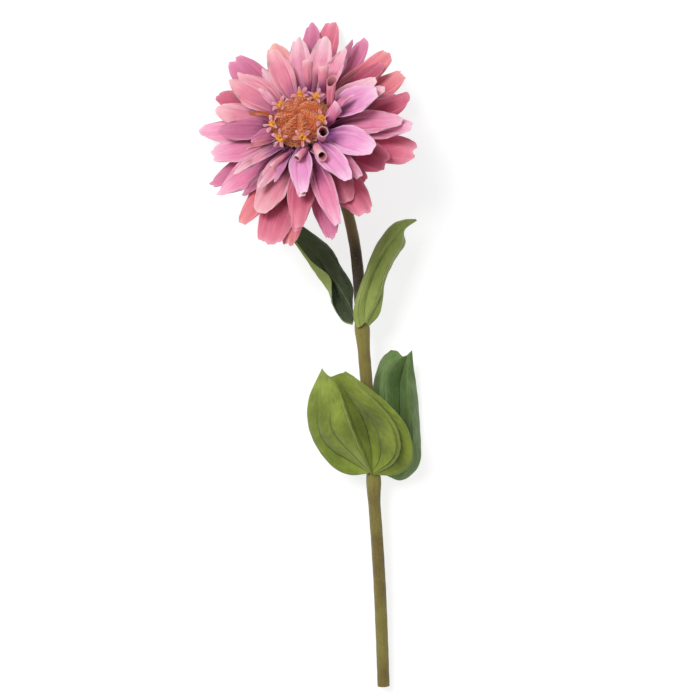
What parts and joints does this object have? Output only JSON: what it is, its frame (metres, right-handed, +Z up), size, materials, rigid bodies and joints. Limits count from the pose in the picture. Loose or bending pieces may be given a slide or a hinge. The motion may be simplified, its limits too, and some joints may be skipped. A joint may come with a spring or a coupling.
{
  "type": "zinnia flower",
  "caption": "Single cut zinnia lying down: a domed disc with star florets, layered pink petals, a slim olive stem and two opposite pairs of leaves.",
  "frame": {"origin": "bottom centre of the flower's box, on the surface that it lies on", "axes": "+Y along the stem towards the flower head, +Z up from the surface, +X to the right as seen from above"},
  "size_m": [0.1056, 0.3178, 0.0719],
  "materials": {
    "petal": "matte, soft sheen, paler cut edges",
    "floret": "matte",
    "disc": "fuzzy, matte",
    "leaf": "matte, veined",
    "stem": "matte, finely speckled",
    "calyx": "matte",
    "receptacle": "matte"
  },
  "bodies": {
    "root": {"calyx": "calyx", "disc": "disc", "disc_floret_1": "floret", "disc_floret_2": "floret", "disc_floret_3": "floret", "disc_floret_4": "floret", "disc_floret_5": "floret", "disc_floret_6": "floret", "disc_floret_7": "floret", "leaf_lower_back": "leaf", "leaf_lower_front": "leaf", "leaf_upper_left": "leaf", "leaf_upper_right": "leaf", "petal_inner_01": "petal", "petal_inner_02": "petal", "petal_inner_03": "petal", "petal_inner_04": "petal", "petal_inner_05": "petal", "petal_inner_06": "petal", "petal_inner_07": "petal", "petal_inner_08": "petal", "petal_inner_09": "petal", "petal_inner_10": "petal", "petal_inner_11": "petal", "petal_middle_01": "petal", "petal_middle_02": "petal", "petal_middle_03": "petal", "petal_middle_04": "petal", "petal_middle_05": "petal", "petal_middle_06": "petal", "petal_middle_07": "petal", "petal_middle_08": "petal", "petal_middle_09": "petal", "petal_middle_10": "petal", "petal_outer_01": "petal", "petal_outer_02": "petal", "petal_outer_03": "petal", "petal_outer_04": "petal", "petal_outer_05": "petal", "petal_outer_06": "petal", "petal_outer_07": "petal", "petal_outer_08": "petal", "petal_outer_09": "petal", "petal_outer_10": "petal", "petal_outer_11": "petal", "petal_outer_12": "petal", "petal_outer_13": "petal", "petal_outer_14": "petal", "petal_second_01": "petal", "petal_second_02": "petal", "petal_second_03": "petal", "petal_second_04": "petal", "petal_second_05": "petal", "petal_second_06": "petal", "petal_second_07": "petal", "petal_second_08": "petal", "petal_second_09": "petal", "petal_second_10": "petal", "receptacle": "receptacle", "stem": "stem"}
  },
  "joints": []
}
